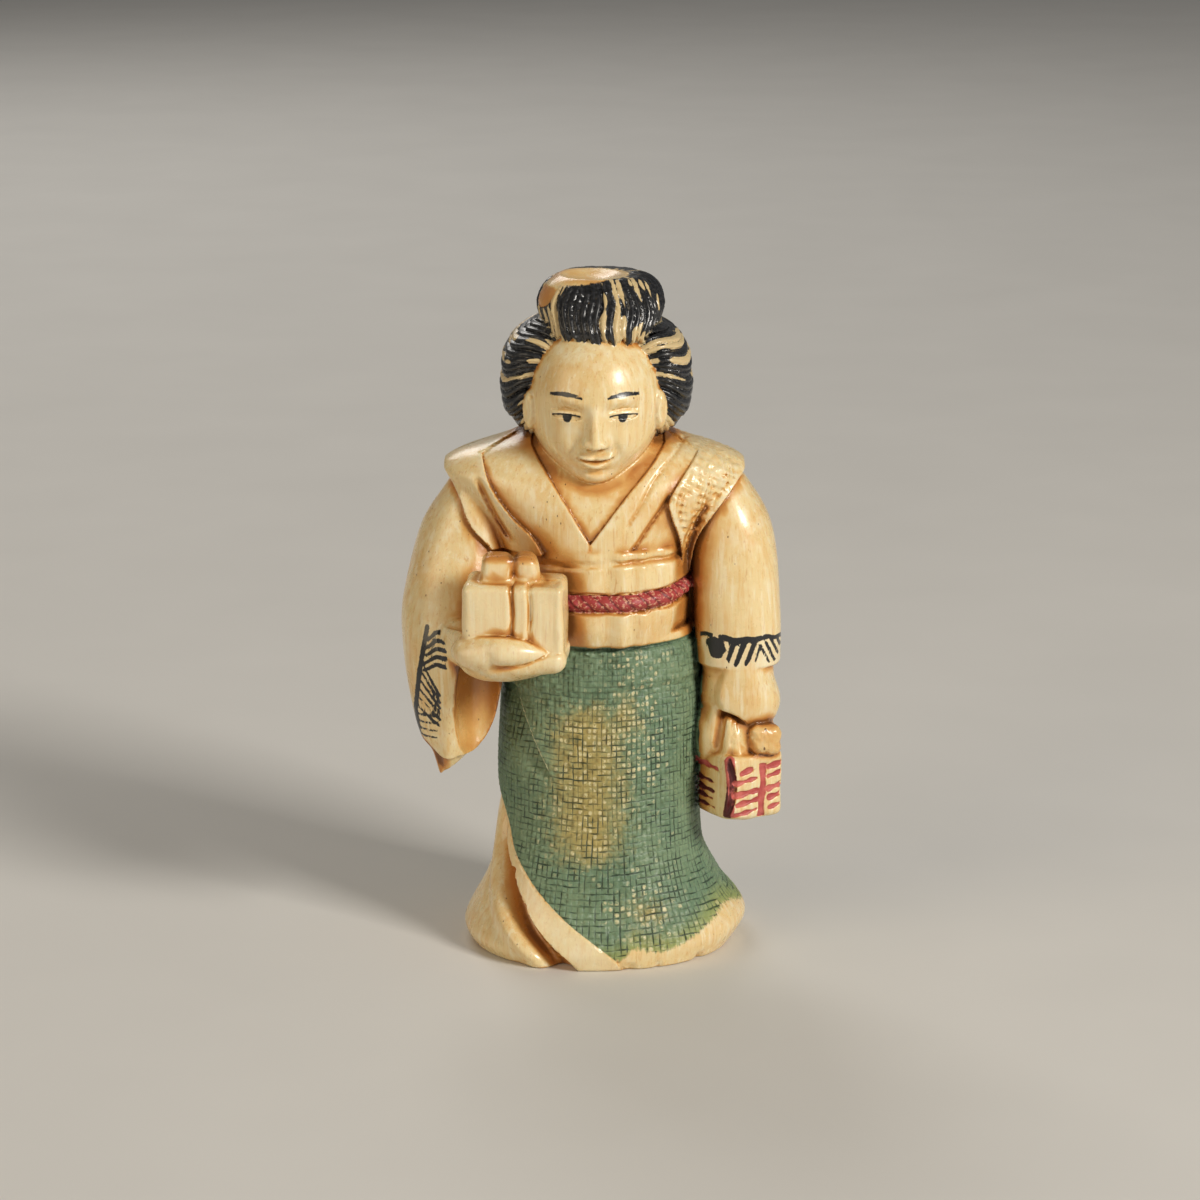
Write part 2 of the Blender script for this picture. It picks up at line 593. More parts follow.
def hanging_hand(x, y, z):
    deep = wrist_deep(z)
    d = oval(x - WRIST_X, y - WRIST_Y, wrist_left(z), wrist_right(z), deep, deep)
    d = between(d, z, WRIST_BOTTOM, WRIST_TOP, 0.3)
    d = d + 0.09 * uneven(x, y, z, 1.4)
    edge = smoothstep(hand_edge(z) - x, -0.15, 0.35) * (1 - smoothstep(z, 20.6, 21.6))
    d = d + 0.3 * edge * (y < -2)
    below_knuckles = np.maximum(z - knuckle_line(x), y + 3.9)
    d = soft_max(d, -below_knuckles, 0.18)
    d = soft_min(d, ellipsoid(x, y, z, *HAND_BACK), 0.2)
    d = soft_min(d, ellipsoid(x, y, z, *HAND_SIDE), 0.3)
    d = soft_min(d, rod(x, y, z, *HANGING_THUMB), 0.35)
    lines = 0.1 * gauss(x - 9.3 - 0.08 * (z - 16), 0.12) + 0.07 * gauss(x - 10.0 + 0.2 * (z - 16), 0.1)
    d = soft_min(d, rod(x, y, z, *FINGERS) + lines, 0.15)
    d = soft_max(d, -rod(x, y, z, *FINGER_GAP), 0.2)
    return soft_min(d, cloth_lump(x, y, z), 0.1)


def cloth_lump(x, y, z):
    """The pitted end of cloth that stands out of the bundle beside the fingers."""
    u, v = turned(x, y, LUMP, LUMP_TURN)
    d = soft_box(u, v, z - LUMP[2] + 0.1 * u, LUMP_HALF, 0.6)
    pits = np.sin(9.0 * x + 2.0 * y) * np.sin(8.5 * z + 3.0 * x)
    return d + 0.04 * pits + 0.08 * uneven(x, y, z, 0.6)


def bundle_frame(x, y, z):
    u, v = turned(x, y, BUNDLE_CENTRE, BUNDLE_TURN)
    return u, v, z - BUNDLE_CENTRE[2]


def bundle_block(u, v, w):
    return soft_box(u, v, w, BUNDLE_HALF, BUNDLE_ROUND)


def bundle(x, y, z):
    u, v, w = bundle_frame(x, y, z)
    d = soft_max(bundle_block(u, v, w), -0.45 * u - 0.45 * v - 0.77 * w - 3.35, 0.5)
    d = soft_max(d, 0.25 - bundle_corner(u, v, w), 0.1)
    return d + 0.15 * smoothstep(-bundle_strokes(u, v, w), -0.06, 0.12) + 0.06 * uneven(x, y, z, 1.1)


def bundle_corner(u, v, w):
    """Distance from the curved line of the groove down the bundle's front corner."""
    bend = 0.07 * (w - 0.3) ** 2
    return np.hypot(u + BUNDLE_HALF[0] - 0.3 + bend, v + BUNDLE_HALF[1] - 0.1 - bend)


# Strokes cut in the bundle: rows by height, start and end, and tapered teeth by height and end
BUNDLE_ROWS = (
    (1.2, -1.3, -0.5), (0.5, -1.8, -0.05), (-0.4, -1.85, 0.0), (-1.15, -1.7, 0.05), (-1.85, -1.75, -0.1),
)
BUNDLE_TEETH = ((1.3, 0.6), (0.2, 0.4), (-0.5, 0.1), (-1.1, -0.1), (-1.7, 0.2))


def bundle_strokes(u, v, w):
    """Distance from the strokes on the bundle: teeth on one side, a band between rows on the rest."""
    wide = np.abs(u) / BUNDLE_HALF[0] < np.abs(v) / BUNDLE_HALF[1]
    along = np.where(wide, np.where(v < 0, u, -u), np.where(u < 0, -v, v))
    sway = 0.05 * np.sin(3.1 * w) + 0.05 * np.sin(5.3 * along + 1.7 * w)
    rows = [((start, height), (end, height + 0.2), 0.24, 0.16) for height, start, end in BUNDLE_ROWS]
    rows += [((1.05, height + 0.15), (2.0, height + 0.32), 0.22, 0.18) for height, _, _ in BUNDLE_ROWS]
    band = np.maximum(np.abs(along - 0.47 - 0.04 * w) - 0.3, np.abs(w + 0.3) - 1.95)
    banded = np.minimum(nearest_stroke(along, w, rows), band)
    teeth = [((-1.9, height + 0.1), (end, height), 0.26, 0.05) for height, end in BUNDLE_TEETH]
    toothed = ~wide & (u < 0)
    return np.where(toothed, nearest_stroke(along, w, teeth), banded) + sway


# Bent arm's hand with the wrapped box

def thumb(x, y, z):
    """The thumb along the box's front, shaped like a leaf that bends back at its root."""
    u = x - THUMB[0]
    v = y - THUMB[1] - 0.26 * np.maximum(-u, 0) ** 2
    w = z - THUMB[2] + 0.05 * u
    taper = np.where(u > 0, u / THUMB_TIP, -u / THUMB_ROOT)
    return 1.1 * (np.sqrt((w / THUMB_HIGH) ** 2 + (v / THUMB_DEEP) ** 2) + taper**2.2 - 1)


def carrying_hand(x, y, z):
    d = rod(x, y, z, *FOREARM)
    d = soft_min(d, ellipsoid(x, y, z - PALM_TILT * (x + 6), *PALM), 0.8)
    palm_end = soft_box(x - PALM_END[0], y - PALM_END[1], z - PALM_END[2], PALM_END_HALF, 0.9)
    d = soft_min(d, palm_end, 0.5)
    d = soft_min(d, ellipsoid(x, y, z, *HEEL), 0.4)
    under_thumb = z - 23.5 - 0.28 * (x + 7.5)
    facet = smoothstep(under_thumb, -0.6, 0.1) * smoothstep(x, -8.2, -7.0)
    d = d + np.where(y < -8, 0.3 * facet, 0) + 0.08 * uneven(x, y, z, 1.3)
    return soft_min(d, thumb(x, y, z), 0.06 + 0.3 * smoothstep(THUMB[0] - x, -0.5, 3.5))


def wrapped_box(x, y, z):
    u, v = turned(x, y, BOX_CENTRE, BOX_TURN)
    w = z - BOX_CENTRE[2]
    d = soft_box(u, v, w, BOX_HALF, BOX_ROUND)
    from_strap = np.abs(u - STRAP_X - 0.06 * np.sin(1.6 * w)) - STRAP_HALF
    groove = gauss(from_strap, 0.17) * smoothstep(w, -2.0, -1.2)
    right_panel = smoothstep(u, 1.05, 1.35) * smoothstep(3.4 - u, 0, 0.6)
    d = d + np.where(v < 0, 0.28 * groove + 0.14 * right_panel, 0)
    d = d + 0.1 * uneven(x, y, z, 1.5)
    for place, width, lean in BOX_EARS:
        across = x - place - lean * (z - 29.4)
        ear = soft_box(across, y - BOX_EAR_Y, z - BOX_EAR_Z, (width, 1.2, 1.3), 0.65)
        d = soft_min(d, ear + 0.08 * uneven(x, y, z, 0.9), 0.35)
    return soft_min(d, ellipsoid(x, y, z, *BOX_KNOT), 0.3)


# Head and hair

def head_frame(x, y, z):
    """Coordinates in the head's own frame, which is bowed forward."""
    c, s = math.cos(math.radians(HEAD_BOW)), math.sin(math.radians(HEAD_BOW))
    dx, dy, dz = x - HEAD[0], y - HEAD[1], z - HEAD[2]
    return dx, c * dy + s * dz, c * dz - s * dy


def lid_line(side):
    """Height of the lower edge of the upper lid, by distance from the middle of the face."""
    return EYE_Z + 0.14 * np.cos(1.5 * (side - EYE_X)) - 0.05 * (side - EYE_X)


def face_relief(u, w):
    """How far the face stands out from the plain egg of the head, at a place seen from the front."""
    side = np.abs(u)
    down = smoothstep(NOSE_TOP - w, 0, NOSE_TOP - NOSE_TIP)
    ending = 1 - smoothstep(NOSE_TIP - w, 0.02, 0.5)
    bridge = smoothstep(NOSE_TOP - w, -0.3, 0.9)
    nose = (0.18 + 0.85 * down) * bridge * ending * gauss(u, 0.44 + 0.26 * down)
    wings = 0.42 * gauss(side - 0.72, 0.32) * gauss(w - NOSE_TIP - 0.08, 0.34)
    nostrils = 0.35 * gauss(side - 0.42, 0.18) * gauss(w - NOSE_TIP + 0.38, 0.14)
    brow = 0.2 * gauss(side - 1.9, 1.3) * gauss(w - BROW_Z + 0.05, 0.4)
    socket = 0.6 * gauss(side - EYE_X + 0.15, 1.2) * gauss(w - EYE_Z - 0.15, 0.72)
    ball = 0.55 * gauss(side - EYE_X, 1.0) * gauss(w - EYE_Z, 0.52)
    eye = smoothstep(1.15 - np.abs(side - EYE_X), 0, 0.35)
    lid = lid_line(side)
    lower_lid = EYE_Z - 0.3 + 0.16 * (side - EYE_X) ** 2
    slit = 0.2 * smoothstep(lid - w, -0.05, 0.06) * smoothstep(w - lower_lid, -0.06, 0.08) * eye
    fold = 0.12 * gauss(w - lid - 0.36, 0.1) * eye
    cheek = 0.36 * gauss(side - 2.5, 1.4) * gauss(w + 2.1, 1.4)
    crease = 0.1 * gauss(side - 1.35 - 0.3 * (NOSE_TIP - w), 0.25) * gauss(w - NOSE_TIP + 0.4, 0.7)
    mouth_window = smoothstep(1.45 - side, 0, 0.5)
    mouth_bend = MOUTH_Z + 0.12 * side**2
    bow_shape = 1 - 0.3 * gauss(u, 0.2)
    upper = 0.34 * gauss(w - mouth_bend - 0.26, 0.24) * mouth_window * bow_shape
    lower = 0.4 * gauss(w - mouth_bend + 0.32, 0.28) * gauss(u, 0.9)
    gap = 0.3 * gauss(w - mouth_bend, 0.09) * mouth_window
    philtrum = 0.08 * gauss(u, 0.18) * gauss(w - MOUTH_Z - 0.85, 0.3)
    under_lip = 0.2 * gauss(u, 0.9) * gauss(w - MOUTH_Z + 0.82, 0.25)
    chin = 0.5 * gauss(u, 1.5) * gauss(w - CHIN_Z, 0.85)
    raised = nose + wings + brow + ball + cheek + upper + lower + chin
    return raised - nostrils - socket - slit - fold - crease - gap - philtrum - under_lip


def head(x, y, z):
    u, v, w = head_frame(x, y, z)
    height = np.where(w < 0, w / HEAD_DOWN, w / HEAD_HALF[2])
    jaw = np.where(height < 0, 1 - HEAD_JAW * height**2, 1)
    fuller = np.where(v < 0, 1 + HEAD_CHIN * smoothstep(-height, 0.15, 0.8), 1)
    d = ellipsoid(u / jaw, v / fuller, height * HEAD_HALF[2], (0, 0, 0), HEAD_HALF)
    around = np.sqrt(np.maximum(1 - height**2, 0.05))
    facing = np.sqrt(np.clip(-v / (fuller * HEAD_HALF[1] * around), 0, 1))
    d = d - facing * face_relief(u, w)
    for side in (-1, 1):
        ear = ellipsoid(side * u, v, w, *EAR)
        bowl = ellipsoid(side * u, v, w, *EAR_BOWL)
        d = soft_min(d, soft_max(ear, -bowl, 0.2), 0.3)
    return d


hair_scale = profile(HAIR_SCALE)


def above_rolls(y, z):
    """Height above the middle of the rolls, which climbs toward the knot behind."""
    return z - HAIR[2] - HAIR_SWEEP * np.maximum(y - 1, 0)


def roll_turns(x, y, z):
    """Strand count around the rolls: strands leave the face, droop a little and sweep up behind."""
    out, up = np.abs(x - HAIR[0]), above_rolls(y, z)
    droop = HAIR_DROOP * (np.hypot(out, up) - HAIR_DOWN)
    wave = 0.35 * np.sin(1.1 * y + 0.6 * out) + 0.2 * np.sin(2.3 * up + 0.8 * out)
    return HAIR_STRANDS_PER_RADIAN * np.arctan2(up, out) + droop + wave


def strand_relief(turns):
    """Relief of combed hair: single strands, and deeper cuts between locks of three or four."""
    locks = turns / 3.4 + 0.15 * np.sin(0.9 * turns)
    return 0.2 * (ridges(turns) - 0.6) + 0.24 * (ridges(locks) ** 0.6 - 0.75)


def hair_rolls(x, y, z):
    share = hair_scale(y)
    side = HAIR_SIDE * share
    d = oval(x - HAIR[0], z - HAIR[2], side, side, HAIR_DOWN * share, HAIR_UP * share, HAIR_SQUARE)
    d = soft_max(d, np.maximum(HAIR_SCALE[0][0] - y, y - HAIR_SCALE[-1][0]), 0.9)
    combed = smoothstep(np.hypot(x - HAIR[0], above_rolls(y, z)), 0.5, 2.0)
    return d - combed * strand_relief(roll_turns(x, y, z))


def knot_turns(x, y, z):
    """Strand count around the knot from its front; the strands spread as they rise."""
    bearing = (bearing_of(x - KNOT_X, y - KNOT_Y) - 90) % 360 - 180
    spread = 1.25 - 0.1 * (z - KNOT_BOTTOM)
    return bearing / 360 * KNOT_STRANDS * spread + 0.25 * np.sin(2.2 * z + np.radians(3 * bearing))


def bare_knot(x, y, z):
    """How far a point of the knot lies inside the patch without paint, on its top and its left."""
    cap = 1 - ((x + 1.0) / 3.0) ** 2 - ((y - 0.2) / 2.7) ** 2
    cap = np.where(z > 48, cap, -1.0)
    bearing = bearing_of(x - KNOT_X, y - KNOT_Y)
    left = 1.1 * gauss(bearing - 200, 22) * smoothstep(z, 46.4, 47.6) - 0.55
    return np.maximum(cap, left)


def hair_knot(x, y, z):
    d = oval(x - KNOT_X, y - KNOT_Y, knot_side(z), knot_side(z), knot_front(z), knot_back(z))
    turns = knot_turns(x, y, z)
    d = d - strand_relief(turns) * (1 - smoothstep(bare_knot(x, y, z), -0.1, 0.1))
    fringe = 0.2 * np.sin(2.3 * turns) + 0.14 * np.sin(5.3 * turns + 1)
    d = between(d, z, KNOT_BOTTOM + fringe, FIGURE_TOP, 0.3)
    d = soft_min(d, ellipsoid(x, y, z, *KNOT_LOBE) - strand_relief(turns), 0.15)
    return soft_max(d, -ellipsoid(x, y, z, *KNOT_DISH), 0.15)


# The whole carving: each part with the box it lies in and the width of its soft seam
PARTS = [
    (skirt, (-11.5, -10.5, -0.5), (11.5, 9.5, 24.5), 0.05),
    (sash, (-8, -8, 23), (8, 8, 31), 0.06),
    (bow, (-5, 4.5, 23.5), (5, 8.2, 31), 0.1),
    (torso, (-15, -8, 13), (13.5, 7, 39.2), 0.12),
    (hanging_hand, (6.5, -6.5, 13.8), (13.2, 0.8, 22.8), 0.08),
    (bundle, (6.2, -7, 9.8), (13.6, 0.4, 15.6), 0.08),
    (carrying_hand, (-14, -12.6, 21.5), (-1.8, -1, 26.2), 0.1),
    (wrapped_box, (-10.2, -12, 23.2), (-2.2, -6, 31.5), 0.1),
    (head, (-6, -8.5, 34.8), (5.2, 5, 46.8), 0.12),
    (hair_rolls, (-7.6, -3.8, 36.5), (6.9, 7.2, 47), 0.08),
    (hair_knot, (-5, -5.6, 44), (5, 6.2, 49.4), 0.08),
]
NEAR = 1.6


def carving(points):
    """Signed distance from the carved surface, negative inside."""
    d = np.full(len(points), FAR)
    for part, low, high, seam in PARTS:
        near = np.all((points > np.array(low) - NEAR) & (points < np.array(high) + NEAR), axis=1)
        if near.any():
            d[near] = soft_min(d[near], part(*points[near].T), seam)
    x, y, z = points.T
    ring = np.hypot(y - CORD_HOLES[1], z - CORD_HOLES[2]) - CORD_HOLES_APART / 2
    tunnel = np.hypot(ring, x - CORD_HOLES[0]) - CORD_HOLE_RADIUS
    return soft_max(d, -tunnel, 0.25)


# Meshing the field

def centres(cells, origin, size):
    return origin + (cells + 0.5) * size


def sampled(field, low, high, cell):
    """The field on a grid, worked out exactly only where the surface can pass."""
    blocks = np.ceil((high - low) / (cell * BLOCK)).astype(int)
    coarse = field(centres(np.indices(blocks).reshape(3, -1).T, low, cell * BLOCK)).reshape(blocks)
    grid = coarse
    size = cell * BLOCK
    for split in (BLOCK // SUBBLOCK, SUBBLOCK):
        active = np.abs(grid) < 1.1 * size + BAND_SLACK
        for axis in range(3):
            grid = np.repeat(grid, split, axis=axis)
            active = np.repeat(active, split, axis=axis)
        size = size / split
        cells = np.argwhere(active)
        grid[active] = field(centres(cells, low, size))
    return grid


def surface_net(grid, low, cell):
    """Vertices and quads of the zero surface, one vertex in each cell that it crosses."""
    inside = grid < 0
    dims = np.array(grid.shape) - 1
    corners = np.array(list(np.ndindex(2, 2, 2)))
    count = np.zeros(dims, np.uint8)
    for a, b, c in corners:
        count += inside[a:a + dims[0], b:b + dims[1], c:c + dims[2]]
    cells = np.argwhere((count > 0) & (count < 8))
    total = np.zeros((len(cells), 3))
    hits = np.zeros((len(cells), 1))
    for axis in range(3):
        for corner in corners[corners[:, axis] == 0]:
            first = cells + corner
            second = first.copy()
            second[:, axis] += 1
            a, b = grid[tuple(first.T)], grid[tuple(second.T)]
            crossed = (a < 0) != (b < 0)
            place = first.astype(float)
            place[:, axis] += a / np.where(crossed, a - b, 1)
            total[crossed] += place[crossed]
            hits[crossed] += 1
    vertices = low + (total / hits + 0.5) * cell
    index = np.full(dims, -1, np.int64)
    index[tuple(cells.T)] = np.arange(len(cells))
    quads = []
    for axis in range(3):
        one, two = (axis + 1) % 3, (axis + 2) % 3
        here, there = (np.take(inside, range(start, start + dims[axis]), axis) for start in (0, 1))
        edges = np.argwhere(here != there)
        beside = edges[:, [one, two]]
        edges = edges[np.all((beside > 0) & (beside < dims[[one, two]]), axis=1)]
        leaving = inside[tuple(edges.T)]
        ring = []
        for shift_one, shift_two in ((1, 1), (0, 1), (0, 0), (1, 0)):
            cell_at = edges.copy()
            cell_at[:, one] -= shift_one
            cell_at[:, two] -= shift_two
            ring.append(index[tuple(cell_at.T)])
        ring = np.stack(ring, axis=1)
        ring[~leaving] = ring[~leaving][:, ::-1]
        quads.append(ring)
    return vertices, np.concatenate(quads)


def slopes(field, points, step=0.03):
    """Unit normals of the field, from four samples around each point."""
    corners = np.array([(1, -1, -1), (-1, -1, 1), (-1, 1, -1), (1, 1, 1)], float)
    total = sum(corner * field(points + step * corner)[:, None] for corner in corners)
    length = np.linalg.norm(total, axis=1, keepdims=True)
    return total / np.maximum(length, 1e-9), length[:, 0] / (4 * step)


def mesh_from(name, vertices, faces):
    mesh = bpy.data.meshes.new(name)
    mesh.from_pydata(vertices, [], faces)
    mesh.update()
    return mesh


def placed(name, data):
    """A new object of the scene."""
    item = bpy.data.objects.new(name, data)
    bpy.context.scene.collection.objects.link(item)
    return item


def thinned(mesh, keep_detail):
    """The mesh with fewer triangles, fewest where the weights are low."""
    piece = placed("thinning", mesh)
    group = piece.vertex_groups.new(name="detail")
    for level in np.unique(keep_detail):
        group.add(np.flatnonzero(keep_detail == level).tolist(), float(level), "REPLACE")
    thin = piece.modifiers.new("thin", "DECIMATE")
    thin.ratio = min(1.0, TRIANGLES / (2 * len(mesh.polygons)))
    thin.vertex_group = group.name
    thin.invert_vertex_group = True
    thin.vertex_group_factor = THIN_CARE
    thin.use_collapse_triangulate = True
    evaluated = piece.evaluated_get(bpy.context.evaluated_depsgraph_get())
    result = bpy.data.meshes.new_from_object(evaluated)
    bpy.data.objects.remove(piece)
    return result


def refined(mesh, wanted):
    """Splits the triangles where fine paint lines run."""
    work = bmesh.new()
    work.from_mesh(mesh)
    edges = [edge for edge in work.edges if wanted[edge.verts[0].index] and wanted[edge.verts[1].index]]
    bmesh.ops.subdivide_edges(work, edges=edges, cuts=1, use_grid_fill=True)
    bmesh.ops.triangulate(work, faces=work.faces[:])
    work.to_mesh(mesh)
    work.free()


def places_of(mesh):
    places = np.empty(len(mesh.vertices) * 3)
    mesh.vertices.foreach_get("co", places)
    return places.reshape(-1, 3)


# Paint: what covers each spot

SLEEVE_SPINE = [(-12.4, 24.9), (-13.0, 21.6), (-13.35, 18.6), (-13.15, 16.8)]


def sleeve_ink(x, z):
    """Distance from the brushed border on the bent sleeve: a spine, bent ticks, slants and bars."""
    strokes = [(start, end, 0.17) for start, end in zip(SLEEVE_SPINE, SLEEVE_SPINE[1:])]
    for tick in range(5):
        top = 24.75 - 0.56 * tick
        bend = (-11.8, top - 0.2)
        strokes.append(((-12.35 - 0.08 * tick, top - 0.75), bend, 0.1, 0.15))
        strokes.append((bend, (-11.1, top - 0.06 * tick), 0.15, 0.19))
    for slant in range(6):
        left, top = -12.75 - 0.1 * slant, 22.3 - 0.66 * slant
        strokes.append(((left, top), (min(left + 1.6, -11.55), top - 2.3 + 0.2 * slant), 0.08, 0.12))
    for bar in range(4):
        height = 18.25 - 0.55 * bar
        strokes.append(((-13.3, height), (-11.75, height + 0.1), 0.1, 0.07))
    return nearest_stroke(x, z, strokes)


CUFF_STROKES = 22
CUFF_FRONT = [
    ((9.4, 23.4), (8.95, 21.9), 0.22, 0.14), ((10.16, 23.4), (9.55, 21.75), 0.23, 0.16),
    ((10.87, 23.3), (10.31, 21.8), 0.18, 0.17), ((11.3, 23.1), (10.95, 21.95), 0.1, 0.07),
    ((11.3, 23.1), (11.95, 21.8), 0.11, 0.08), ((11.7, 23.3), (12.37, 21.8), 0.11, 0.1),
    ((12.1, 23.4), (12.65, 22.2), 0.1, 0.09), ((12.5, 23.5), (12.8, 22.7), 0.1, 0.08),
]


def cuff_ink(x, y, z):
    """Distance from the brushed border around the hanging sleeve: a wavy band with leaf strokes below."""
    angle = np.arctan2(y - arm_y(z), x - arm_x(z))
    radius = 3.1
    wave = 23.62 - 0.04 * (x - 10) + 0.1 * np.sin(5 * angle) + 0.05 * np.sin(13 * angle + 1)
    band = np.abs(z - wave) - 0.2 - 0.05 * np.sin(3 * angle)
    front = np.hypot((x - 8.1) * 1.15, z - 22.95) - 0.82 - 0.06 * np.sin(9 * z + 4 * x)
    front = np.minimum(front, nearest_stroke(x, z, CUFF_FRONT))
    behind = np.full(x.shape, FAR)
    round_trip = 2 * math.pi * radius
    for number in range(CUFF_STROKES):
        u = (radius * angle - round_trip * number / CUFF_STROKES) % round_trip
        u = np.where(u > round_trip / 2, u - round_trip, u)
        width = 0.15 + 0.06 * math.sin(3.7 * number)
        behind = np.minimum(behind, stroke(u, z, (0, 23.4), (-0.5, 21.8), width, 0.1))
    return np.minimum(band, np.where(y < arm_y(z) - 0.6, front, behind))


def face_ink(x, y, z):
    """Distance from the lid lines, irises and brows."""
    u, v, w = head_frame(x, y, z)
    side = np.abs(u)
    lid = np.maximum(np.abs(w - lid_line(side) + 0.02) - 0.09, np.abs(side - EYE_X) - 1.0)
    iris = np.maximum(np.hypot(side - EYE_X + 0.05, w - EYE_Z + 0.06) - 0.33, w - lid_line(side))
    arch = BROW_Z + 0.25 + 0.22 * np.cos(1.2 * (side - EYE_X + 0.1))
    brow = np.maximum(np.abs(w - arch) - 0.16 + 0.06 * np.abs(side - EYE_X), np.abs(side - EYE_X) - 1.15)
    nearest = np.minimum(np.minimum(lid, iris), brow)
    return np.where(v < 0, nearest, FAR)


def skirt_paint(x, y, z):
    """Values for the overskirt's green: how far inside it, the weave's counts, wear and glints."""
    around, up = weave_turns(x, y, z)
    green, above_hem = green_inside(x, y, z)
    bearing = bearing_of(x, y)
    worn = gauss(bearing - 262, 26) * window(z, 5.5, 9.5, 17.5, 20.8)
    worn = np.maximum(worn, 0.75 * gauss(bearing - 285, 12) * gauss(z - 18.2, 2.2))
    worn = np.maximum(worn, 0.6 * gauss(bearing - 292, 16) * gauss(z - 4.0, 1.6))
    glint = gauss(bearing - 290, 20) * smoothstep(z, 9.0, 16.0)
    glint = glint + 0.7 * gauss(bearing - 288, 22) * gauss(z - 4.5, 2.5)
    off_crease = np.minimum(np.abs(beside_crease(x, y, z) - 0.08), FAR)
    off_ends = 1 - window(z, 13.6, 14.4, 19.0, 19.8)
    cloth = np.minimum(plain_skirt(x, y, z), ellipsoid(x, y, z, *ARM_WEB))
    return {
        "green": np.where(np.abs(cloth) < 0.35, green, -1.0),
        "above_hem": above_hem,
        "weave_around": around,
        "weave_up": up,
        "worn": worn,
        "glint": glint,
        "off_crease": off_crease + 0.3 * off_ends,
    }


def bald_knot(x, y, z):
    return np.where(hair_knot(x, y, z) < 0.2, bare_knot(x, y, z), -1.0)


def hair_paint(x, y, z):
    """Values for the hair's black: how far inside it, the knot's bare patches and the strands."""
    rolls, knot, skin = hair_rolls(x, y, z), hair_knot(x, y, z), head(x, y, z)
    hair = np.minimum(0.14, np.minimum(skin, torso(x, y, z)) + 0.04) - np.minimum(rolls, knot)
    in_knot = knot < rolls
    of_knot, of_rolls = knot_turns(x, y, z), roll_turns(x, y, z)
    return {
        "hair": np.where(z > 36, hair, -1.0),
        "bald": bald_knot(x, y, z),
        "hairline": gauss(np.maximum(skin, 0), 0.8) - smoothstep(y, 1.0, 4.5),
        "strand": np.where(in_knot, of_knot, of_rolls + 100),
        "strand_ridge": np.where(in_knot, ridges(of_knot), ridges(of_rolls)),
    }


def bundle_paint(x, y, z):
    """Values for the bundle's red strokes, and for the dark red of its groove and shaded side."""
    u, v, w = bundle_frame(x, y, z)
    on_bundle = ON - bundle_block(u, v, w)
    corner = bundle_corner(u, v, w)
    beside_groove = np.minimum(0.52 - corner, -1.95 - u + 0.5 * (v + 2.2))
    red = np.minimum(np.maximum(-bundle_strokes(u, v, w), beside_groove), on_bundle)
    shaded = np.minimum(np.minimum(red, -u - 1.9), np.minimum(0.9 - w, v + 1.9))
    return {"red": red, "maroon": np.maximum(np.minimum(0.29 - corner, on_bundle), shaded)}


def inked(x, y, z):
    """How far a point lies inside the ink of the sleeve borders and the face."""
    sleeve = np.where(y < SLEEVE_FACE, -sleeve_ink(x, z), -FAR)
    sleeve = np.minimum(sleeve, ON - bent_sleeve(x, y, z))
    cuff = np.minimum(-cuff_ink(x, y, z), ON - hanging_sleeve(x, y, z))
    face = np.minimum(-face_ink(x, y, z), 0.3 - head(x, y, z))
    return np.maximum(np.maximum(sleeve, cuff), face)


def box_ears(x, y, z):
    """One on the tips of the box's wrapping."""
    return smoothstep(z, 30.1, 31.0) * (x < -4) * (x > -9) * (y < -7)


def pitted_lump(x, y, z):
    return smoothstep(ON - cloth_lump(x, y, z), 0, 0.15)


def rubbed_pale(x, y, z, normals):
    """Where handling keeps the bone pale: box and thumb, the cuff's border, the skirt's turned edge."""
    front = smoothstep(-normals[:, 1], 0.55, 0.9) * smoothstep(-y, 9.3, 10.0) * smoothstep(z, 23.4, 24.2)
    front = front * (1 - box_ears(x, y, z))
    border = window(z, CUFF, CUFF + 0.2, 23.4, 23.7) * (hanging_sleeve(x, y, z) < ON)
    from_front, _ = wedge_inside(x, y, z)
    turned_edge = smoothstep(from_front, 0.1, 0.4) * smoothstep(edge_band(z) - from_front, 0.1, 0.4)
    turned_edge = turned_edge * (plain_skirt(x, y, z) < 0.3) * smoothstep(8 - z, 0, 2)
    return np.maximum(np.maximum(0.9 * front, border), turned_edge)


def face_share(x, y, z):
    """One on the front of the face, where the stain stays light."""
    u, v, w = head_frame(x, y, z)
    return smoothstep(-v, 1.5, 3.0) * smoothstep(6.3 - np.hypot(u, w), 0, 1.2) * (head(x, y, z) < 0.25)


def stained_amber(x, y, z):
    """Stain beyond what the hollows gather by themselves."""
    mouth = smoothstep(0.25 - np.abs(ellipsoid(x, y, z, *SLEEVE_MOUTH)), 0, 0.2)
    stain = (0.4 + 0.7 * smoothstep(z, 16.5, 21.5)) * mouth
    stain = stain + 0.36 * pitted_lump(x, y, z) + 0.95 * box_ears(x, y, z)
    bald = bald_knot(x, y, z)
    stain = stain + 0.55 * (bald > -0.3) * (z < 48.4) + 0.25 * (bald > -0.1)
    under_panel = window(sleeve_edge(x) - z, -0.2, 0.2, 0.2, 2.2) * smoothstep(-x, 10.6, 11.2)
    stain = stain + 0.9 * under_panel * (bent_sleeve(x, y, z) < ON)
    under_chin = gauss(np.hypot(x + 0.6, y + 3.2) - 1.0, 3.2) * gauss(z - 36.2, 1.6)
    stain = stain + 0.5 * under_chin * (1 - face_share(x, y, z))
    sash_edges = gauss(z - SASH_BOTTOM, 0.6) + 0.6 * gauss(z - SASH_TOP, 0.5)
    stain = stain + 0.25 * sash_edges * (sash(x, y, z) < 0.3)
    from_front, _ = wedge_inside(x, y, z)
    under_edge = gauss(from_front - edge_band(z) - 0.8, 0.85) * (z < WEDGE_TOP)
    return stain + 0.75 * under_edge * (plain_skirt(x, y, z) < 0.3)


